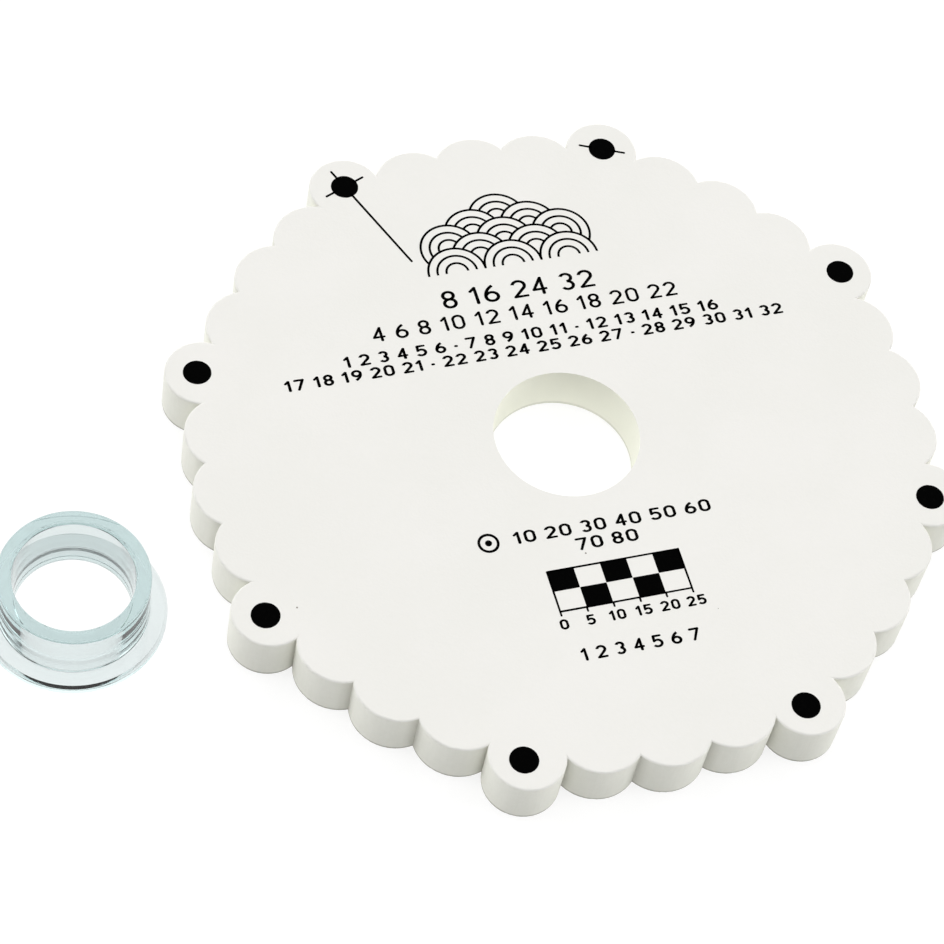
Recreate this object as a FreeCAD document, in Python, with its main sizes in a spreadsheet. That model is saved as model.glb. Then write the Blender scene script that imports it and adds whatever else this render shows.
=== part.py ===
import FreeCAD, Part
import math
import os
import Sketcher

# Kumihimo braiding disk: a die-cut foam board with a scalloped edge, and the clear flanged ring
# that lines its centre hole. The ring stands taken out, flange down, on the surface beside the board.
# Row frame: the origin is on the hole's axis at the board's underside, Z is up, and the middle of a
# lobe lies on the X axis.

doc = FreeCAD.newDocument("kumihimo_disk")

# Driving dimensions in millimetres and degrees
SIZES = (
    ("disk_diameter", 150.0),
    ("foam_thickness", 10.0),
    ("foam_edge_round", 0.4),
    ("lobe_count", 8),
    ("scallops_between_lobes", 3),
    ("lobe_radius", 7.0),
    ("scallop_radius", 8.1),
    ("scallop_drop", 4.5),
    ("hole_diameter", 27.4),
    ("ring_fit_clearance", 0.1),
    ("ring_wall", 2.7),
    ("flange_lip", 3.2),
    ("flange_thickness", 2.0),
    ("flange_edge_round", 0.8),
    ("rim_round", 0.9),
    ("moulded_corner_round", 0.4),
    ("ring_gap", 4.2),
    ("ring_direction", 210.4),
)
sheet = doc.addObject("Spreadsheet::Sheet", "Sizes")
for row, (alias, value) in enumerate(SIZES, start=1):
    sheet.set("A%d" % row, alias)
    sheet.set("B%d" % row, str(value))
    sheet.setAlias("B%d" % row, alias)
doc.recompute()

# Places that follow from the sizes, as expressions on the sheet. disk_diameter is taken across two
# lobes, and scallop_drop is how far a plain scallop stays inside that circle.
OUTER_RADIUS = "(Sizes.disk_diameter / 2)"
LOBE_REACH = "(%s - Sizes.lobe_radius)" % OUTER_RADIUS
SCALLOP_REACH = "(%s - Sizes.scallop_drop - Sizes.scallop_radius)" % OUTER_RADIUS
TOOTH_COUNT = "(Sizes.lobe_count * (Sizes.scallops_between_lobes + 1))"
HOLE_RADIUS = "(Sizes.hole_diameter / 2)"
COLLAR_RADIUS = "(%s - Sizes.ring_fit_clearance)" % HOLE_RADIUS
BORE_RADIUS = "(%s - Sizes.ring_wall)" % COLLAR_RADIUS
FLANGE_RADIUS = "(%s + Sizes.flange_lip)" % COLLAR_RADIUS
RING_HEIGHT = "(Sizes.flange_thickness + Sizes.foam_thickness)"
RING_REACH = "(%s + Sizes.ring_gap + %s)" % (OUTER_RADIUS, FLANGE_RADIUS)

SAME_PLACE = 0.001


def measure(expression):
    return float(sheet.evalExpression(expression))


def new_body(label):
    body = doc.addObject("PartDesign::Body", label)
    body.Label = label
    return body


def origin_feature(body, role):
    return [feature for feature in body.Origin.OriginFeatures if feature.Role == role][0]


def new_sketch(body, name, plane_role):
    sketch = body.newObject("Sketcher::SketchObject", name)
    sketch.AttachmentSupport = (origin_feature(body, plane_role), [""])
    sketch.MapMode = "FlatFace"
    return sketch


def drive(sketch, constraint, name, expression):
    index = sketch.addConstraint(constraint)
    sketch.renameConstraint(index, name)
    sketch.setExpression("Constraints." + name, expression)


def circle_sketch(body, name, radius):
    """A circle round the body's axis, on the underside plane."""
    sketch = new_sketch(body, name, "XY_Plane")
    start = measure(radius)
    upright = FreeCAD.Vector(0, 0, 1)
    circle = sketch.addGeometry(Part.Circle(FreeCAD.Vector(), upright, start), False)
    sketch.addConstraint(Sketcher.Constraint("Coincident", circle, 3, -1, 1))
    drive(sketch, Sketcher.Constraint("Radius", circle, start), "radius", radius)
    return sketch


def foam_core(body, radius):
    """The middle of the board, out to where the round teeth have their centres."""
    core = body.newObject("PartDesign::Pad", "core")
    core.Profile = circle_sketch(body, "core_outline", radius)
    core.setExpression("Length", "Sizes.foam_thickness")
    body.Tip = core


def foam_tooth(body, name, radius, reach):
    """A round tooth of foam centred on X at the given reach. It is turned from half its section,
    which has softened corners at the underside and at the top."""
    sketch = new_sketch(body, name + "_section", "XZ_Plane")
    axis, rim = measure(reach), measure(reach) + measure(radius)
    top, soft = measure("Sizes.foam_thickness"), measure("Sizes.foam_edge_round")
    turn, facing = math.pi / 2, FreeCAD.Vector(0, 0, 1)
    low_centre = FreeCAD.Vector(rim - soft, soft, 0)
    high_centre = FreeCAD.Vector(rim - soft, top - soft, 0)
    foot = FreeCAD.Vector(axis, 0, 0)
    head = FreeCAD.Vector(axis, top, 0)
    outline = (
        Part.LineSegment(foot, FreeCAD.Vector(rim - soft, 0, 0)),
        Part.ArcOfCircle(Part.Circle(low_centre, facing, soft), -turn, 0),
        Part.LineSegment(FreeCAD.Vector(rim, soft, 0), FreeCAD.Vector(rim, top - soft, 0)),
        Part.ArcOfCircle(Part.Circle(high_centre, facing, soft), 0, turn),
        Part.LineSegment(FreeCAD.Vector(rim - soft, top, 0), head),
        Part.LineSegment(head, foot),
    )
    underside, low_corner, side, high_corner, face, middle = sketch.addGeometry(list(outline), False)
    smooth = ((underside, low_corner), (low_corner, side), (side, high_corner), (high_corner, face))
    for before, after in smooth:
        sketch.addConstraint(Sketcher.Constraint("Tangent", before, 2, after, 1))
    for before, after in ((face, middle), (middle, underside)):
        sketch.addConstraint(Sketcher.Constraint("Coincident", before, 2, after, 1))
    for line in (underside, face):
        sketch.addConstraint(Sketcher.Constraint("Horizontal", line))
    for line in (side, middle):
        sketch.addConstraint(Sketcher.Constraint("Vertical", line))
    sketch.addConstraint(Sketcher.Constraint("Equal", low_corner, high_corner))
    sketch.addConstraint(Sketcher.Constraint("PointOnObject", underside, 1, -1))
    to_axis = Sketcher.Constraint("DistanceX", -1, 1, underside, 1, axis)
    to_rim = Sketcher.Constraint("DistanceX", underside, 1, side, 1, rim - axis)
    to_top = Sketcher.Constraint("DistanceY", -1, 1, face, 1, top)
    drive(sketch, to_axis, "reach", reach)
    drive(sketch, to_rim, "radius", radius)
    drive(sketch, to_top, "thickness", "Sizes.foam_thickness")
    drive(sketch, Sketcher.Constraint("Radius", low_corner, soft), "edge", "Sizes.foam_edge_round")
    tooth = body.newObject("PartDesign::Revolution", name)
    tooth.Profile = sketch
    tooth.ReferenceAxis = (sketch, ["Edge%d" % (middle + 1)])
    tooth.Angle = 360.0
    body.Tip = tooth
    return tooth


def repeat_around(body, name, original, count):
    pattern = body.newObject("PartDesign::PolarPattern", name)
    pattern.Originals = [original]
    pattern.Axis = (origin_feature(body, "Z_Axis"), [""])
    pattern.Angle = 360.0
    pattern.setExpression("Occurrences", count)
    body.Tip = pattern


def cut_through(body, name, outline):
    """Cuts the outline right through the body, and makes sure that it took something away."""
    doc.recompute()
    volume_before = body.Shape.Volume
    pocket = body.newObject("PartDesign::Pocket", name)
    pocket.Profile = outline
    pocket.Type = "ThroughAll"
    pocket.Midplane = True
    body.Tip = pocket
    doc.recompute()
    if body.Shape.Volume >= volume_before:
        raise RuntimeError(name + " cut nothing")


def lies_at(edge, height):
    box = edge.BoundBox
    return abs(box.ZMin - height) < SAME_PLACE and abs(box.ZMax - height) < SAME_PLACE


def is_circle(edge, radius, height):
    """True for a circle round the body's axis, of the given radius, at the given height."""
    box = edge.BoundBox
    reaches = abs(box.XMax - radius) < SAME_PLACE and abs(box.XMin + radius) < SAME_PLACE
    return reaches and lies_at(edge, height)


def round_edges(body, name, chosen, radius):
    """Rounds those edges of the body for which chosen(edge) is true."""
    doc.recompute()
    base = body.Tip
    edges = enumerate(base.Shape.Edges, start=1)
    picked = ["Edge%d" % number for number, edge in edges if chosen(edge)]
    if not picked:
        raise RuntimeError(name + " found no edge")
    fillet = body.newObject("PartDesign::Fillet", name)
    fillet.Base = (base, picked)
    fillet.setExpression("Radius", radius)
    body.Tip = fillet
    doc.recompute()


def foam_disk():
    """The board. Its outline is a ring of scallops, which meet in the thread notches, with a longer
    lobe over every so many of them. The outline's edges are barely rounded, the hole's are crisp."""
    body = new_body("foam_disk")
    foam_core(body, SCALLOP_REACH)
    scallop = foam_tooth(body, "scallop", "Sizes.scallop_radius", SCALLOP_REACH)
    repeat_around(body, "scallops", scallop, TOOTH_COUNT)
    lobe = foam_tooth(body, "lobe", "Sizes.lobe_radius", LOBE_REACH)
    repeat_around(body, "lobes", lobe, "Sizes.lobe_count")
    cut_through(body, "centre_hole", circle_sketch(body, "hole_outline", HOLE_RADIUS))
    return body


def ring_section(body):
    """Half the ring's section, still with sharp corners. Its lines are the underside, the flange's
    edge and top, the collar, the rim and the bore."""
    sketch = new_sketch(body, "ring_section", "XZ_Plane")
    bore, collar, flange = measure(BORE_RADIUS), measure(COLLAR_RADIUS), measure(FLANGE_RADIUS)
    flange_top, rim_top = measure("Sizes.flange_thickness"), measure(RING_HEIGHT)
    corners = [
        (bore, 0), (flange, 0), (flange, flange_top),
        (collar, flange_top), (collar, rim_top), (bore, rim_top),
    ]
    points = [FreeCAD.Vector(across, up, 0) for across, up in corners]
    for start, end in zip(points, points[1:] + points[:1]):
        sketch.addGeometry(Part.LineSegment(start, end), False)
    for line in range(len(points)):
        following = (line + 1) % len(points)
        sketch.addConstraint(Sketcher.Constraint("Coincident", line, 2, following, 1))
        direction = "Vertical" if line % 2 else "Horizontal"
        sketch.addConstraint(Sketcher.Constraint(direction, line))
    sketch.addConstraint(Sketcher.Constraint("PointOnObject", 0, 1, -1))
    driven = (
        ("DistanceX", 0, bore, "bore", BORE_RADIUS),
        ("DistanceX", 1, flange, "flange", FLANGE_RADIUS),
        ("DistanceX", 3, collar, "collar", COLLAR_RADIUS),
        ("DistanceY", 2, flange_top, "flange_top", "Sizes.flange_thickness"),
        ("DistanceY", 4, rim_top, "rim_top", RING_HEIGHT),
    )
    for way, line, start, name, expression in driven:
        drive(sketch, Sketcher.Constraint(way, -1, 1, line, 1, start), name, expression)
    return sketch


def guide_ring():
    """The clear ring. Its collar is as tall as the board is thick, so that it lines the whole hole
    once the flange meets the foam."""
    body = new_body("guide_ring")
    turned = body.newObject("PartDesign::Revolution", "turned_ring")
    turned.Profile = ring_section(body)
    turned.ReferenceAxis = (origin_feature(body, "Z_Axis"), [""])
    turned.Angle = 360.0
    body.Tip = turned
    flange_top, rim_top = measure("Sizes.flange_thickness"), measure(RING_HEIGHT)
    collar, flange = measure(COLLAR_RADIUS), measure(FLANGE_RADIUS)

    def at_collar_foot(edge):
        return is_circle(edge, collar, flange_top)

    def at_flange_edge(edge):
        return is_circle(edge, flange, flange_top)

    round_edges(body, "rim", lambda edge: lies_at(edge, rim_top), "Sizes.rim_round")
    round_edges(body, "collar_foot", at_collar_foot, "Sizes.moulded_corner_round")
    round_edges(body, "flange_edge", at_flange_edge, "Sizes.flange_edge_round")
    round_edges(body, "underside", lambda edge: lies_at(edge, 0), "Sizes.moulded_corner_round")
    body.setExpression("Placement.Base.x", "%s * cos(Sizes.ring_direction * 1 deg)" % RING_REACH)
    body.setExpression("Placement.Base.y", "%s * sin(Sizes.ring_direction * 1 deg)" % RING_REACH)
    return body


def check(pieces):
    for feature in doc.Objects:
        if "Invalid" in feature.State or "Error" in feature.State:
            raise RuntimeError("%s failed: %s" % (feature.Name, feature.State))
    for piece in pieces:
        if piece.Shape.isNull() or not piece.Shape.isValid() or len(piece.Shape.Solids) != 1:
            raise RuntimeError(piece.Label + " is not one valid solid")


pieces = [foam_disk(), guide_ring()]
doc.recompute()
check(pieces)
os.makedirs("parts", exist_ok=True)
for piece in pieces:
    piece.Shape.exportStep("parts/%s.step" % piece.Label)
    print("%s: %.1f cubic millimetres" % (piece.Label, piece.Shape.Volume))
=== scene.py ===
import math

import bpy
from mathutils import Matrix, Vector


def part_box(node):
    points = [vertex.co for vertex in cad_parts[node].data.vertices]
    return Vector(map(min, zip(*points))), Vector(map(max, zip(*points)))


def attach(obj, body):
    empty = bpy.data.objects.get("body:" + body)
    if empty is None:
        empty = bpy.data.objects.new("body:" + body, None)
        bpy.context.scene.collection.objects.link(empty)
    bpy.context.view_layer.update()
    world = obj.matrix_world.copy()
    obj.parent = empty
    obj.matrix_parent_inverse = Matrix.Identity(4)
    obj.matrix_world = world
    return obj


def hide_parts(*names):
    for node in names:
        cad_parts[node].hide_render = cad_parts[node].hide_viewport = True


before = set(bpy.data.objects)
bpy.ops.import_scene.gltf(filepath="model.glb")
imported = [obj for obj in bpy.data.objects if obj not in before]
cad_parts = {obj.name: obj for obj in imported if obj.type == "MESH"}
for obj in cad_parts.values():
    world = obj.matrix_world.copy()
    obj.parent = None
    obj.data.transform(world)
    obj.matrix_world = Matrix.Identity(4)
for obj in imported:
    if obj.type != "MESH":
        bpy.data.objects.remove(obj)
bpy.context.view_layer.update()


# Foam board
# One board of stiff closed-cell foam, 10 mm thick, die-cut in a single stroke. Its faces keep the
# smooth skin of the sheet. The cut walls show the cells and the faint streaks of the blade. They are
# painted darker deep in the notches as painted shade, and at the foot, where the board stands, as a
# painted contact shadow. The wall of the hole is painted lighter, for light shining through the foam.
BOARD_TOP = 0.010
CLOUD_SIZE, FLECK_SIZE, CELL_SIZE = 0.018, 0.0011, 0.00042
STREAK_SIZE, ALONG_BLADE = 0.0007, (1.0, 1.0, 0.12)
# The skin is parted into cells of this spacing, of which a small share has a dark speck.
SPECK_SPACING, CLEAN_SHARE = 0.0062, 0.86
SPECK_SIZE, SPECK_SPREAD, SPECK_DARKNESS = 0.024, 0.012, 0.85
# Where the painted shade starts to fade, where it ends and how strong it is: by the distance from
# the axis in the notches, and by the height at the foot, from which a fainter painted shade rises up
# the whole wall, darker towards the bottom.
NOTCH_REACH, NOTCH_END, NOTCH_PAINTED_SHADE = 0.0671, 0.0692, 0.30
FOOT_HEIGHT, FOOT_END, FOOT_PAINTED_SHADOW, RISING_PAINTED_SHADE = 0.0003, 0.0009, 0.80, 0.065
# Within this reach of the axis lies the hole. Its wall is painted lighter, for light shining through
# the foam, and gets less of the painted shadow at the foot, by this share.
HOLE_REACH, HOLE_WEAKER_SHADOW = 0.02, 0.65
GRAIN_DEPTH, GRAIN_STRENGTH = 0.00006, 0.55

SKIN_COLOUR = (0.869, 0.859, 0.825, 1.0)
SKIN_SHADE = (0.849, 0.842, 0.803, 1.0)
WALL_COLOUR = (0.870, 0.872, 0.802, 1.0)
WALL_SHADE = (0.845, 0.848, 0.776, 1.0)
# Painted shade in the notches and painted contact shadow at the foot of the walls.
PAINTED_SHADE_COLOUR = (0.26, 0.25, 0.21, 1.0)
# Painted light: the hole's wall is lighter than the other walls, for light shining through the foam.
HOLE_COLOUR = (0.927, 0.932, 0.834, 1.0)
SPECK_COLOUR = (0.16, 0.14, 0.11, 1.0)


class Wire:
    """A socket in a material, which Python's own signs can work on. Each sign adds a Math node."""

    def __init__(self, finish, socket):
        self.finish = finish
        self.socket = socket

    def maths(self, operation, *values):
        return self.finish.node("ShaderNodeMath", values, operation=operation)

    def __add__(self, other):
        return self.maths("ADD", self, other)

    def __rsub__(self, other):
        return self.maths("SUBTRACT", other, self)

    def __mul__(self, other):
        return self.maths("MULTIPLY", self, other)

    def __lt__(self, other):
        return self.maths("LESS_THAN", self, other)

    def __gt__(self, other):
        return self.maths("GREATER_THAN", self, other)

    def __abs__(self):
        return self.maths("ABSOLUTE", self)

    __radd__ = __add__
    __rmul__ = __mul__


class Finish:
    """A material, or the light all round, being made: its last shader and the nodes that feed it."""

    def __init__(self, material, shader="Principled BSDF"):
        self.material = material
        self.material.use_nodes = True
        self.shader = self.material.node_tree.nodes[shader]

    def node(self, kind, values=(), output=0, **settings):
        """Adds a node, sets it up, and gives its inputs their values or links, by place or by name."""
        added = self.material.node_tree.nodes.new(kind)
        for name, value in settings.items():
            setattr(added, name, value)
        inputs = values if isinstance(values, dict) else dict(enumerate(values))
        for name, value in inputs.items():
            self.feed(added.inputs[name], value)
        return Wire(self, added.outputs[output])

    def feed(self, socket, value):
        if isinstance(value, Wire):
            self.material.node_tree.links.new(value.socket, socket)
        else:
            socket.default_value = value

    def shade(self, **values):
        """Sets or links inputs of the shader. An underscore stands for a space."""
        for name, value in values.items():
            self.feed(self.shader.inputs[name.replace("_", " ")], value)

    def place(self):
        return self.node("ShaderNodeTexCoord", output="Object")

    def scaled(self, vector, scale):
        return self.node("ShaderNodeMapping", {"Vector": vector, "Scale": scale})

    def part(self, vector, axis):
        """The X, Y or Z part of a vector."""
        return self.node("ShaderNodeSeparateXYZ", [vector], output=axis)

    def grain(self, place, size, detail=2.0, roughness=0.5):
        """Soft noise with lumps of about the given size in metres."""
        values = {"Vector": place, "Scale": 1 / size, "Detail": detail, "Roughness": roughness}
        return self.node("ShaderNodeTexNoise", values)

    def cells(self, place, size, output="Distance", **settings):
        """How far each point is from the middle of its cell, in cells of about the given size."""
        values = {"Vector": place, "Scale": 1 / size}
        return self.node("ShaderNodeTexVoronoi", values, output=output, **settings)

    def draw(self, place, size):
        """A number from 0 to 1, drawn once for each cell."""
        return self.part(self.cells(place, size, output="Color"), "X")

    def ramp(self, value, low, high, to_low=0.0, to_high=1.0):
        """Runs from one number to another while the value goes from low to high, and stays there."""
        settings = {"interpolation_type": "SMOOTHSTEP"}
        return self.node("ShaderNodeMapRange", (value, low, high, to_low, to_high), **settings)

    def blend(self, share, first, second):
        """Goes from the first colour to the second as the share goes from 0 to 1."""
        return self.node("ShaderNodeMix", {0: share, 6: first, 7: second}, output=2, data_type="RGBA")

    def relief(self, height, depth, strength=1.0):
        """A bump from a height of 0 to 1, which stands for the given depth in metres."""
        values = {"Strength": strength, "Distance": depth, "Height": height}
        self.shade(Normal=self.node("ShaderNodeBump", values, output="Normal"))


def foam_finish():
    foam = Finish(bpy.data.materials.new("closed_cell_foam"))
    place = foam.place()
    facing = foam.node("ShaderNodeTexCoord", output="Normal")
    wall = foam.ramp(abs(foam.part(facing, "Z")), 0.35, 0.75, 1.0, 0.0)

    clouds = foam.grain(place, CLOUD_SIZE, detail=3.0)
    flecks = foam.grain(place, FLECK_SIZE, detail=3.0, roughness=0.65)
    pores = foam.cells(place, CELL_SIZE, feature="SMOOTH_F1")
    streaks = foam.grain(foam.scaled(place, ALONG_BLADE), STREAK_SIZE, detail=3.0, roughness=0.6)
    skin = foam.blend(foam.ramp(clouds * 0.7 + flecks * 0.3, 0.35, 0.68), SKIN_SHADE, SKIN_COLOUR)
    cut = foam.blend(foam.ramp(streaks * 0.5 + flecks * 0.5, 0.36, 0.64), WALL_SHADE, WALL_COLOUR)

    from_axis = foam.scaled(place, (1.0, 1.0, 0.0))
    reach = foam.node("ShaderNodeVectorMath", [from_axis], operation="LENGTH", output="Value")
    in_hole = reach < HOLE_REACH
    # Painted shade: the walls are darkened deep in each notch.
    notch = foam.ramp(reach, NOTCH_REACH, NOTCH_END, NOTCH_PAINTED_SHADE, 0.0)
    height = foam.part(place, "Z")
    # Painted contact shadow in a thin line at the foot, and a fainter painted shade up the whole wall,
    # darker towards the bottom.
    foot = foam.ramp(height, FOOT_HEIGHT, FOOT_END, FOOT_PAINTED_SHADOW, 0.0) * (0.5 + flecks * 0.8)
    foot += foam.ramp(height, 0.0, BOARD_TOP, RISING_PAINTED_SHADE, 0.0)
    cut = foam.blend(notch, cut, PAINTED_SHADE_COLOUR)
    # Painted light: the hole's wall takes the lighter colour.
    cut = foam.blend(in_hole, cut, HOLE_COLOUR)
    # Inside the hole the painted shadow at the foot is weaker.
    cut = foam.blend(foot * (1 - in_hole * HOLE_WEAKER_SHADOW), cut, PAINTED_SHADE_COLOUR)

    speck = foam.cells(place, SPECK_SPACING) < SPECK_SIZE + flecks * SPECK_SPREAD
    speck *= foam.draw(place, SPECK_SPACING) > CLEAN_SHARE
    foam.shade(
        Base_Color=foam.blend(speck * SPECK_DARKNESS, foam.blend(wall, skin, cut), SPECK_COLOUR),
        Roughness=foam.ramp(flecks, 0.3, 0.7, 0.62, 0.78) + wall * 0.12,
        Specular_IOR_Level=0.25,
    )
    foam.relief(pores * 0.35 + flecks * 0.4 + streaks * wall * 0.8, GRAIN_DEPTH, GRAIN_STRENGTH)
    return foam.material


def dress(piece, material):
    """Gives the whole piece one material."""
    piece.data.materials.clear()
    piece.data.materials.append(material)
    for face in piece.data.polygons:
        face.material_index = 0


dress(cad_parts["foam_disk"], foam_finish())


# Start dots
# Eight round dots in black screen ink, one on each lobe but a little off the cut, with hairlines at
# the two lobes where a braid is begun. The ink is a little uneven and lets specks of foam through.
INK_BELOW, INK_ABOVE = BOARD_TOP - 0.00003, BOARD_TOP + 0.00003
FILM_SIZE, PINHOLE_SPACING, WHOLE_SHARE = 0.00050, 0.00052, 0.80
INK_COLOUR = (0.0002, 0.0002, 0.0002, 1.0)
WORN_INK = (0.006, 0.006, 0.005, 1.0)

# Each dot's turn in degrees and its reach from the board's middle.
DOT_PLACES = (
    (-0.41, 0.06839), (44.72, 0.06866), (89.94, 0.06854), (134.94, 0.06836),
    (180.17, 0.06895), (225.12, 0.06910), (269.57, 0.06912), (314.27, 0.06856),
)
DOT_RADIUS, DOT_WANDER, DOT_RIM = 0.00263, 0.011, 0.03
# The hairlines' width, and how far from the middle of their dot they start and end.
HAIRLINE, HAIRLINE_START = 0.00045, 0.0022
TICK_END, DASH_END, LONG_END = 0.0043, 0.0044, 0.0212


def ink_finish():
    ink = Finish(bpy.data.materials.new("black_screen_ink"))
    place = ink.place()
    film = ink.grain(place, FILM_SIZE, detail=4.0, roughness=0.7)
    pinhole = ink.ramp(ink.cells(place, PINHOLE_SPACING), 0.10, 0.24, 1.0, 0.0)
    pinhole *= ink.draw(place, PINHOLE_SPACING) > WHOLE_SHARE
    worn = ink.ramp(film, 0.52, 0.78) * 0.6 + pinhole * 0.4
    ink.shade(
        Base_Color=ink.blend(worn, INK_COLOUR, WORN_INK),
        Roughness=ink.ramp(film, 0.3, 0.7, 0.55, 0.75),
        Specular_IOR_Level=0.015,
    )
    ink.relief(film, 0.00002, 0.5)
    return ink.material


def start_afresh():
    bpy.ops.object.select_all(action="DESELECT")


def choose(piece, mode, wanted):
    """In edit mode, selects just the faces, edges or points of the piece for which wanted is true."""
    bpy.ops.mesh.select_mode(type=mode)
    bpy.ops.mesh.select_all(action="DESELECT")
    bpy.ops.object.mode_set(mode="OBJECT")
    parts = {"FACE": piece.data.polygons, "EDGE": piece.data.edges, "VERT": piece.data.vertices}[mode]
    for part in parts:
        part.select = wanted(part)
    bpy.ops.object.mode_set(mode="EDIT")


def close_up():
    """Turns all faces of the piece being edited outwards, and leaves edit mode."""
    bpy.ops.mesh.select_all(action="SELECT")
    bpy.ops.mesh.normals_make_consistent(inside=False)
    bpy.ops.object.mode_set(mode="OBJECT")


def thicken_ink():
    """Gives the flat ink being edited its thickness, and closes it up."""
    bpy.ops.mesh.select_all(action="SELECT")
    bpy.ops.mesh.extrude_region_move(
        TRANSFORM_OT_translate={"value": (0, 0, INK_ABOVE - INK_BELOW)})
    close_up()


def settle(piece):
    """Writes the piece's place into its mesh, so that its object sits at the origin, unturned."""
    start_afresh()
    piece.select_set(True)
    bpy.context.view_layer.objects.active = piece
    bpy.ops.object.transform_apply(location=True, rotation=True, scale=True)


def join_as(name, pieces):
    """Makes one piece with this name of all the pieces, and settles it."""
    start_afresh()
    for piece in pieces:
        piece.select_set(True)
    joined = pieces[0]
    bpy.context.view_layer.objects.active = joined
    if len(pieces) > 1:
        bpy.ops.object.join()
    joined.name = joined.data.name = name
    settle(joined)
    return joined


INK = ink_finish()


def print_on_board(name, pieces, slant=0.0):
    """Joins pieces of print into one, turns them about the board's middle, and inks them."""
    printed = join_as(name, pieces)
    printed.rotation_euler = (0.0, 0.0, slant)
    settle(printed)
    dress(printed, INK)
    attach(printed, "board")


def ink_dot(radius, seed):
    """A filled round of ink at the origin: a disc whose rim wanders a little, with thickness."""
    start_afresh()
    bpy.ops.mesh.primitive_circle_add(
        vertices=72, radius=radius, fill_type="NGON", location=(0, 0, INK_BELOW))
    dot = bpy.context.object
    bpy.ops.object.mode_set(mode="EDIT")
    bpy.ops.mesh.select_all(action="SELECT")
    bpy.ops.transform.vertex_random(offset=radius * DOT_WANDER, seed=seed)
    bpy.ops.transform.resize(value=(1, 1, 0), center_override=(0, 0, INK_BELOW))
    bpy.ops.mesh.inset(thickness=radius * DOT_RIM)
    thicken_ink()
    return dot


def ink_line(start, end, width, corners=24):
    """A straight printed line with rounded ends: a round stretched from one end to the other."""
    start, end = Vector(start), Vector(end)
    start_afresh()
    bpy.ops.mesh.primitive_circle_add(
        vertices=corners, radius=width / 2, fill_type="NGON", location=(0, 0, INK_BELOW))
    line = bpy.context.object
    bpy.ops.object.mode_set(mode="EDIT")
    choose(line, "VERT", lambda point: point.co.x > 1e-6)
    bpy.ops.transform.translate(value=((end - start).length, 0, 0))
    thicken_ink()
    line.location = (start.x, start.y, line.location.z)
    line.rotation_euler = (0.0, 0.0, math.atan2(end.y - start.y, end.x - start.x))
    return line


def out_at(degrees, reach):
    """The point that lies this far from the origin in this direction."""
    angle = math.radians(degrees)
    return Vector((reach * math.cos(angle), reach * math.sin(angle), 0.0))


dots = []
for number, (turn, reach) in enumerate(DOT_PLACES):
    dot = ink_dot(DOT_RADIUS, number)
    dot.location += out_at(turn, reach)
    dots.append(dot)
print_on_board("start_dots", dots)


def hairline(dot, degrees, end):
    """A hairline from near the dot's middle, straight out in the given direction."""
    return ink_line(dot + out_at(degrees, HAIRLINE_START), dot + out_at(degrees, end), HAIRLINE)


second, first = [out_at(*DOT_PLACES[number]) for number in (2, 3)]
hairlines = [hairline(first, degrees, TICK_END) for degrees in (45, 135, 225)]
hairlines.append(hairline(first, 315, LONG_END))
hairlines += [hairline(second, degrees, DASH_END) for degrees in (0, 180)]
print_on_board("start_hairlines", hairlines)


# Printed numbers
# Rows of plain wide figures in the same ink, square to a line that rises from the left: counts for a
# quarter and for the threads, the notch numbers in two rows above the hole, and lengths below it.
PRINT_SLANT = math.radians(22.5)
PRINT_MIDDLE = 0.0003
FIGURE_STROKE, FIGURE_STRETCH = 0.00046, 1.2
FIGURE_GAP, WORD_GAP = 0.20, 0.40
LINE_CORNERS = 12
# Each figure is drawn in a cell one unit high: its width, its straight strokes from point to point,
# and its bends, each with a centre, a radius, and the two angles between which it runs. The last one
# is the small dot that parts two groups of numbers.
FIGURES = {
    "0": (0.56, [(0.00, 0.28, 0.00, 0.72), (0.56, 0.28, 0.56, 0.72)],
          [(0.28, 0.72, 0.28, 0, 180), (0.28, 0.28, 0.28, 180, 360)]),
    "1": (0.30, [(0.24, 0.00, 0.24, 1.00), (0.24, 1.00, 0.02, 0.80)], []),
    "2": (0.56, [(0.486, 0.531, 0.00, 0.00), (0.00, 0.00, 0.56, 0.00)],
          [(0.28, 0.72, 0.28, -42.5, 165)]),
    "3": (0.53, [], [(0.27, 0.755, 0.245, -90, 155), (0.27, 0.255, 0.255, -155, 90)]),
    "4": (0.56, [(0.42, 0.00, 0.42, 1.00), (0.42, 1.00, 0.00, 0.28), (0.00, 0.28, 0.56, 0.28)], []),
    "5": (0.56, [(0.06, 1.00, 0.52, 1.00), (0.06, 1.00, 0.031, 0.529)],
          [(0.25, 0.31, 0.31, -150, 135)]),
    "6": (0.56, [], [(0.28, 0.28, 0.28, 0, 180), (0.28, 0.28, 0.28, 180, 360),
                     (0.80, 0.28, 0.80, 119, 180)]),
    "7": (0.56, [(0.00, 1.00, 0.56, 1.00), (0.56, 1.00, 0.16, 0.00)], []),
    "8": (0.52, [], [(0.26, 0.76, 0.24, 0, 180), (0.26, 0.76, 0.24, 180, 360),
                     (0.26, 0.26, 0.26, 0, 180), (0.26, 0.26, 0.26, 180, 360)]),
    "9": (0.56, [], [(0.28, 0.72, 0.28, 0, 180), (0.28, 0.72, 0.28, 180, 360),
                     (-0.24, 0.72, 0.80, -61, 0)]),
    "\u00b7": (0.06, [(0.00, 0.40, 0.06, 0.40)], []),
}


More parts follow.
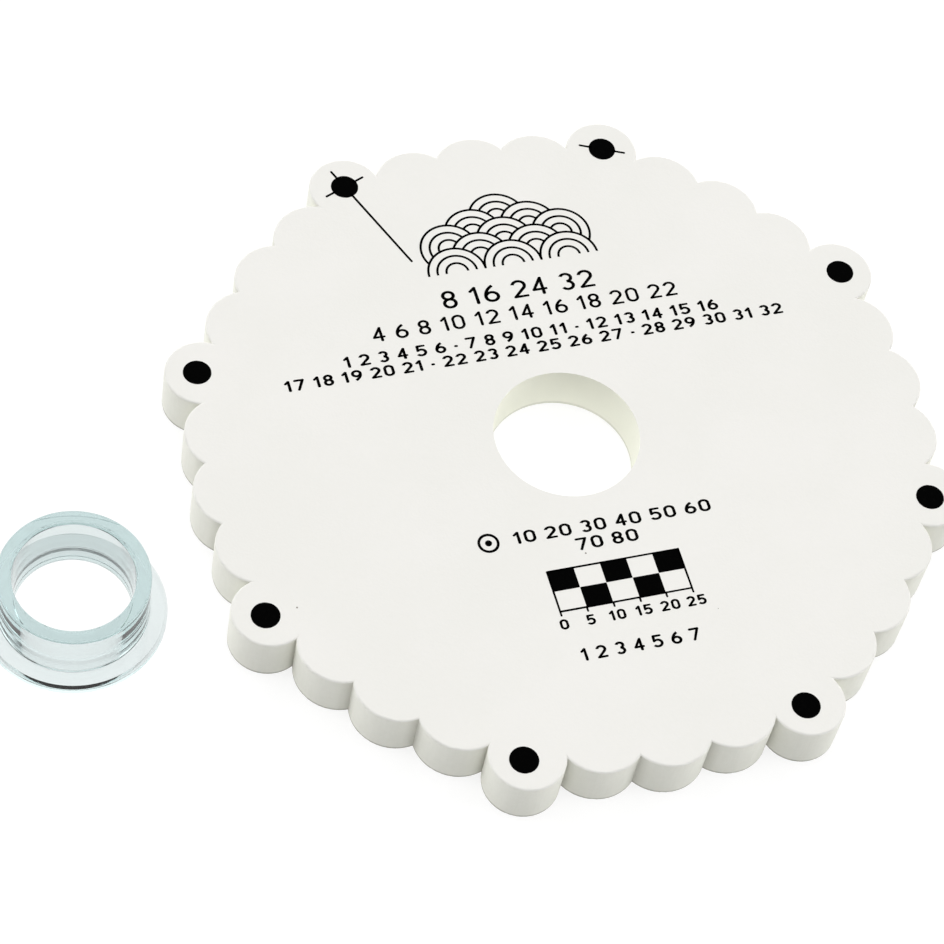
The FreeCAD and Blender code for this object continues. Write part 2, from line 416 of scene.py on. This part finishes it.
def ink_bend(centre, radius, start, end, width, steps=14):
    """A printed arc between two angles in degrees: an upright oblong of ink spun round its centre."""
    start_afresh()
    middle = (INK_ABOVE + INK_BELOW) / 2
    bpy.ops.mesh.primitive_plane_add(
        size=1, location=(radius, 0, middle), rotation=(math.radians(90), 0, 0))
    bend = bpy.context.object
    settle(bend)
    bpy.ops.object.mode_set(mode="EDIT")
    bpy.ops.mesh.select_all(action="SELECT")
    bpy.ops.transform.resize(
        value=(width, 1, INK_ABOVE - INK_BELOW), center_override=(radius, 0, middle))
    bpy.ops.mesh.spin(
        steps=steps, angle=math.radians(start - end), center=(0, 0, middle), axis=(0, 0, 1))
    close_up()
    bend.location = (centre[0], centre[1], 0)
    bend.rotation_euler = (0, 0, math.radians(start))
    return bend


def figure(character, size, stroke):
    """One figure with its strokes joined, standing at the origin."""
    straights, bends = FIGURES[character][1:]
    strokes = [ink_line((x * size, y * size), (to_x * size, to_y * size), stroke, LINE_CORNERS)
               for x, y, to_x, to_y in straights]
    strokes += [ink_bend((x * size, y * size), radius * size, start, end, stroke)
                for x, y, radius, start, end in bends]
    return join_as("figure", strokes)


def copy_of(piece):
    start_afresh()
    piece.select_set(True)
    bpy.context.view_layer.objects.active = piece
    bpy.ops.object.duplicate(linked=False)
    return bpy.context.object


def number_row(
        words, height, up, middle=PRINT_MIDDLE, stroke=FIGURE_STROKE, stretch=FIGURE_STRETCH):
    """A row of figures of the given height on a base line, centred at a place across the print."""
    size = height - stroke
    across, models, row = 0.0, {}, []
    for character in words:
        if character == " ":
            across += WORD_GAP * size
            continue
        if character in models:
            piece = copy_of(models[character])
        else:
            piece = models[character] = figure(character, size, stroke)
        piece.location = (across, 0, 0)
        row.append(piece)
        across += FIGURES[character][0] * size + stroke + FIGURE_GAP * size
    length = across - stroke - FIGURE_GAP * size
    joined = join_as("row", row)
    joined.scale = (stretch, 1, 1)
    joined.location = (middle - length / 2 * stretch, up + stroke / 2, 0)
    settle(joined)
    return joined


print_on_board("quarter_counts", [
    number_row("8 16 24 32", height=0.0041, up=0.0315, stroke=0.00055),
], PRINT_SLANT)
print_on_board("strand_counts", [
    number_row("4 6 8 10 12 14 16 18 20 22", height=0.0033, up=0.0266, stroke=0.00047),
], PRINT_SLANT)
print_on_board("notch_numbers", [
    number_row(
        "1 2 3 4 5 6 \u00b7 7 8 9 10 11 \u00b7 12 13 14 15 16",
        height=0.00255, up=0.0219, stretch=1.28),
    number_row(
        "17 18 19 20 21 \u00b7 22 23 24 25 26 27 \u00b7 28 29 30 31 32",
        height=0.0025, up=0.0187, stretch=1.28),
], PRINT_SLANT)
print_on_board("length_counts", [
    number_row(
        "10 20 30 40 50 60", height=0.0026, up=-0.0213, middle=0.0027, stroke=0.00044, stretch=1.34),
    number_row(
        "70 80", height=0.0026, up=-0.0248, middle=0.0006, stroke=0.00044, stretch=1.36),
    number_row("1 2 3 4 5 6 7", height=0.0026, up=-0.0470, middle=0.0001, stroke=0.00045),
], PRINT_SLANT)


# Start mark
# A small circle with a dot in it, printed before the lengths in the same ink. It stands for the
# start dots.
MARK_PLACE = (-0.0209, -0.02005)
MARK_RADIUS, MARK_LINE, MARK_DOT, MARK_SEED = 0.00177, 0.00051, 0.00064, 20

mark_dot = ink_dot(MARK_DOT, MARK_SEED)
mark_dot.location = (MARK_PLACE[0], MARK_PLACE[1], mark_dot.location.z)
print_on_board("start_mark", [
    ink_bend(MARK_PLACE, MARK_RADIUS, 0, 180, MARK_LINE, 20),
    ink_bend(MARK_PLACE, MARK_RADIUS, 180, 360, MARK_LINE, 20),
    mark_dot,
], PRINT_SLANT)


# Wave pattern
# A traditional pattern of overlapping waves, in fine lines of the same ink, as an ornament behind the
# hole. Each wave is three arcs round one centre, and the waves in front hide part of those behind.
WAVE_RADIUS = 0.0056
WAVE_ROWS = (3, 2, 3, 2, 1)
WAVE_ARCS = (1.0, 0.69, 0.38)
WAVE_BASE, WAVE_MIDDLE = 0.0395, 0.0012
WAVE_LINE = 0.00045
SHORTEST_ARC, DEGREES_A_STEP = 4, 7

wave_rows = []
for behind, count in enumerate(WAVE_ROWS):
    wave_rows.append([
        Vector((WAVE_MIDDLE + (number - (count - 1) / 2) * 2 * WAVE_RADIUS,
                WAVE_BASE + behind * WAVE_RADIUS / 2))
        for number in range(count)
    ])


def open_stretches(centre, radius, in_front):
    """The stretches of a wave's arc, in degrees, that no wave in front hides."""
    stretches, begin = [], None
    for angle in range(-90, 271):
        turn = math.radians(angle)
        point = centre + Vector((math.cos(turn), math.sin(turn))) * radius
        seen = point.y >= WAVE_BASE - 1e-9 and all(
            (point - wave).length >= WAVE_RADIUS for wave in in_front)
        if seen and begin is None:
            begin = angle
        if begin is not None and (not seen or angle == 270):
            if angle - begin > SHORTEST_ARC:
                stretches.append((begin, angle))
            begin = None
    return stretches


waves = []
for behind, row in enumerate(wave_rows):
    in_front = [centre for front_row in wave_rows[:behind] for centre in front_row]
    for centre in row:
        for share in WAVE_ARCS:
            radius = WAVE_RADIUS * share
            for begin, end in open_stretches(centre, radius, in_front):
                steps = max(3, (end - begin) // DEGREES_A_STEP)
                waves.append(ink_bend(centre, radius, begin, end, WAVE_LINE, steps))
print_on_board("wave_pattern", waves, PRINT_SLANT)


# Length scale
# A chequered bar of 25 mm in the same ink, in steps of 5 mm, to hold a braid against. It has an
# outline, a short tick at each step, and the length in millimetres under each tick.
SCALE_START, SCALE_STEP, SCALE_STEPS = -0.0122, 0.0050, 5
SCALE_LOW, SCALE_MIDDLE, SCALE_HIGH = -0.0364, -0.0322, -0.0280
SCALE_LINE, SCALE_TICK, SCALE_CORNER = 0.00040, 0.0008, 0.00012
SCALE_FIGURE, SCALE_FIGURE_UP, SCALE_STROKE = 0.0021, -0.0401, 0.00041
MILLIMETRES_A_STEP = 5


def ink_block(left, low, right, high):
    """A filled oblong of ink with slightly softened corners."""
    start_afresh()
    middle = ((left + right) / 2, (low + high) / 2, INK_BELOW)
    bpy.ops.mesh.primitive_plane_add(size=1, location=middle)
    block = bpy.context.object
    settle(block)
    bpy.ops.object.mode_set(mode="EDIT")
    bpy.ops.mesh.select_all(action="SELECT")
    bpy.ops.transform.resize(value=(right - left, high - low, 1), center_override=middle)
    bpy.ops.mesh.bevel(offset=SCALE_CORNER, segments=2, affect="VERTICES")
    thicken_ink()
    return block


def scale_line(start, end):
    return ink_line(start, end, SCALE_LINE, LINE_CORNERS)


scale_end = SCALE_START + SCALE_STEPS * SCALE_STEP
scale_parts = []
for step in range(SCALE_STEPS):
    low, high = (SCALE_MIDDLE, SCALE_HIGH) if step % 2 == 0 else (SCALE_LOW, SCALE_MIDDLE)
    left = SCALE_START + step * SCALE_STEP
    scale_parts.append(ink_block(left, low, left + SCALE_STEP, high))
for height in (SCALE_LOW, SCALE_HIGH):
    scale_parts.append(scale_line((SCALE_START, height), (scale_end, height)))
for step in range(SCALE_STEPS + 1):
    across = SCALE_START + step * SCALE_STEP
    top = SCALE_HIGH if step in (0, SCALE_STEPS) else SCALE_LOW
    scale_parts.append(scale_line((across, top), (across, SCALE_LOW - SCALE_TICK)))
    scale_parts.append(number_row(
        str(step * MILLIMETRES_A_STEP), SCALE_FIGURE, SCALE_FIGURE_UP, across, SCALE_STROKE))
print_on_board("length_scale", scale_parts, PRINT_SLANT)


# Clear ring
# An injection moulding in water-clear plastic with a faint aqua cast: a collar that lines the hole,
# and a flange that stops on the foam. It has been pushed out and stands beside the board.
FLANGE_RADIUS, COLLAR_RADIUS, BORE_RADIUS = 0.016795, 0.0136, 0.0109
FLANGE_TOP_RADIUS, FLANGE_SIDE, BORE_FOOT_RADIUS = 0.01627, 0.00105, 0.0105
FLANGE_THICKNESS, RING_HEIGHT, RING_SIDES = 0.0020, 0.0120, 256
BORE_ROUND, RIM_ROUND, COLLAR_ROUND = 0.0006, 0.0004, 0.0005
FLANGE_ROUND, FOOT_ROUND = 0.0001, 0.0002
# Faces that meet at less than this are smoothed: the sides all round, not the steps of an edge.
SMOOTH_BELOW = math.radians(5)
CLEAR_TINT = (0.795, 0.830, 0.830, 1.0)
CLEAR_DEPTH, CLEAR_DENSITY = (0.20, 0.54, 0.54, 1.0), 42.0
FLOW_SIZE = 0.0030


def clear_finish():
    clear = Finish(bpy.data.materials.new("clear_moulded_plastic"))
    flow = clear.grain(clear.place(), FLOW_SIZE)
    clear.shade(
        Base_Color=CLEAR_TINT,
        Roughness=clear.ramp(flow, 0.35, 0.75, 0.010, 0.035),
        IOR=1.54,
        Transmission_Weight=1.0,
    )
    clear.relief(flow, 0.00002, 0.25)
    depth = clear.node("ShaderNodeVolumeAbsorption", {"Color": CLEAR_DEPTH, "Density": CLEAR_DENSITY})
    clear.feed(clear.material.node_tree.nodes["Material Output"].inputs["Volume"], depth)
    return clear.material


def round_circle(ring, radius, height, size, steps):
    """Rounds the circular edge of the ring that has this radius and height."""
    def on_circle(edge):
        ends = [ring.data.vertices[index].co for index in edge.vertices]
        return all(
            abs(end.z - height) < 0.00001 and abs(end.xy.length - radius) < 0.00002 for end in ends)

    choose(ring, "EDGE", on_circle)
    bpy.ops.mesh.bevel(offset=size, segments=steps, affect="EDGES")


flange_lean = FLANGE_TOP_RADIUS / FLANGE_RADIUS
start_afresh()
bpy.ops.mesh.primitive_cylinder_add(
    vertices=RING_SIDES, radius=FLANGE_RADIUS, depth=FLANGE_SIDE, location=(0, 0, FLANGE_SIDE / 2))
ring = bpy.context.object
ring.name = ring.data.name = "clear_ring"
settle(ring)
bpy.ops.object.mode_set(mode="EDIT")
choose(ring, "FACE", lambda face: face.normal.z > 0.9)
bpy.ops.mesh.extrude_region_move(
    TRANSFORM_OT_translate={"value": (0, 0, FLANGE_THICKNESS - FLANGE_SIDE)})
bpy.ops.transform.resize(value=(flange_lean, flange_lean, 1))
bpy.ops.mesh.inset(thickness=FLANGE_TOP_RADIUS - COLLAR_RADIUS)
bpy.ops.mesh.extrude_region_move(
    TRANSFORM_OT_translate={"value": (0, 0, RING_HEIGHT - FLANGE_THICKNESS)})
bpy.ops.mesh.inset(thickness=COLLAR_RADIUS - BORE_RADIUS)
choose(ring, "FACE", lambda face: face.normal.z < -0.9)
bpy.ops.mesh.inset(thickness=FLANGE_RADIUS - BORE_FOOT_RADIUS)
choose(ring, "FACE", lambda face: len(face.vertices) > 4)
bpy.ops.mesh.bridge_edge_loops()
for radius, height, size, steps in (
    (COLLAR_RADIUS, RING_HEIGHT, RIM_ROUND, 8),
    (BORE_RADIUS, RING_HEIGHT, BORE_ROUND, 8),
    (COLLAR_RADIUS, FLANGE_THICKNESS, COLLAR_ROUND, 6),
    (FLANGE_TOP_RADIUS, FLANGE_THICKNESS, FLANGE_ROUND, 3),
    (FLANGE_RADIUS, 0.0, FOOT_ROUND, 3),
    (BORE_FOOT_RADIUS, 0.0, FOOT_ROUND, 4),
):
    round_circle(ring, radius, height, size, steps)
close_up()
bpy.ops.object.shade_smooth_by_angle(angle=SMOOTH_BELOW)
ring_low, ring_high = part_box("guide_ring")
ring.location = ((ring_low.x + ring_high.x) / 2, (ring_low.y + ring_high.y) / 2, 0.0)
settle(ring)
dress(ring, clear_finish())
# Light goes through the clear plastic to what is under it, so the ring throws no dark shadow.
ring.visible_shadow = False
ring.visible_diffuse = False
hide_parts("guide_ring")
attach(ring, "ring")


# Floor
# A wide sheet of white paper, lit until it shows no edge and hardly a shadow. It lies a hair below
# the board and the ring, as the thin layer of air under them does in life.
FLOOR_SIZE, FLOOR_LEVEL = 8.0, -0.00005
PAPER_COLOUR = (0.35, 0.35, 0.35, 1.0)
PAPER_GLOW = 0.71

start_afresh()
bpy.ops.mesh.primitive_plane_add(size=FLOOR_SIZE, location=(0, 0, FLOOR_LEVEL))
floor = bpy.context.object
floor.name = "floor"
paper = Finish(bpy.data.materials.new("floor_paper"))
paper.shade(
    Base_Color=PAPER_COLOUR, Roughness=0.9, Specular_IOR_Level=0.1,
    Emission_Color=(1.0, 1.0, 1.0, 1.0), Emission_Strength=PAPER_GLOW,
)
dress(floor, paper.material)


# Studio light
# White light from all round: a broad diffuser on each side and soft light from above. The room low in
# front and a strip of the ceiling behind are dark, which draws the dark lines in the clear ring.
ROOM_LIGHT, TOP_LIGHT, LEFT_LIGHT, RIGHT_LIGHT = 1.00, 0.73, 1.46, 1.45
DIM_FRONT, DARK_FRONT, DARK_STRIP = 0.92, 0.98, 0.90
# A direction has parts from -1 to 1 to the right, to the back and up. Each pair holds the two values
# of one part between which a light or a dark patch fades.
TOP_FADE, SIDE_FADE = (0.60, 1.00), (0.702, 0.952)
FRONT_FADE, FRONT_UP_FADE, FRONT_SIDE_FADE = (-0.35, -0.10), (0.70, 0.83), (0.45, 0.65)
STRIP_FADE, STRIP_UP_FADE, STRIP_SIDE_FADE = (0.10, 0.25), (0.855, 0.88), (0.25, 0.45)


def studio_light():
    studio = Finish(bpy.data.worlds.new("studio"), "Background")
    direction = studio.node("ShaderNodeTexCoord", output="Generated")
    right, back, up = [studio.part(direction, axis) for axis in "XYZ"]
    aside = abs(right)
    side_start, side_end = SIDE_FADE
    light = (
        ROOM_LIGHT
        + studio.ramp(up, *TOP_FADE, 0.0, TOP_LIGHT)
        + studio.ramp(right, -side_end, -side_start, LEFT_LIGHT, 0.0)
        + studio.ramp(right, side_start, side_end, 0.0, RIGHT_LIGHT)
    )
    front = studio.ramp(back, *FRONT_FADE, 1.0, 0.0) * studio.ramp(up, *FRONT_UP_FADE, 1.0, 0.0)
    front *= studio.ramp(aside, *FRONT_SIDE_FADE, DARK_FRONT, DIM_FRONT)
    strip = studio.ramp(aside, *STRIP_SIDE_FADE, 1.0, 0.0)
    strip *= studio.ramp(back, *STRIP_FADE) * studio.ramp(up, *STRIP_UP_FADE)
    studio.shade(
        Color=(1.0, 1.0, 1.0, 1.0),
        Strength=light * (1 - front) * (1 - strip * DARK_STRIP),
    )
    return studio.material


bpy.context.scene.world = studio_light()
bpy.context.scene.view_settings.view_transform = "Standard"


# Camera
# A long lens from above the front left corner, close to the board, which cuts off its right edge.
# Its place and its turns, in degrees, were fitted to the dots and the outline in the photograph.
CAMERA_PLACE = (-0.039456, -0.339135, 0.496946)
CAMERA_TURNS = (33.2990, -7.1429, 6.6838)
CAMERA_LENS, CAMERA_SENSOR = 122.877, 36.0

camera_data = bpy.data.cameras.new("photo_camera")
camera_data.sensor_width = CAMERA_SENSOR
camera_data.lens = CAMERA_LENS
camera_data.clip_start, camera_data.clip_end = 0.05, 20.0
camera = bpy.data.objects.new("photo_camera", camera_data)
camera.location = CAMERA_PLACE
camera.rotation_euler = [math.radians(turn) for turn in CAMERA_TURNS]
bpy.context.scene.collection.objects.link(camera)
bpy.context.scene.camera = camera
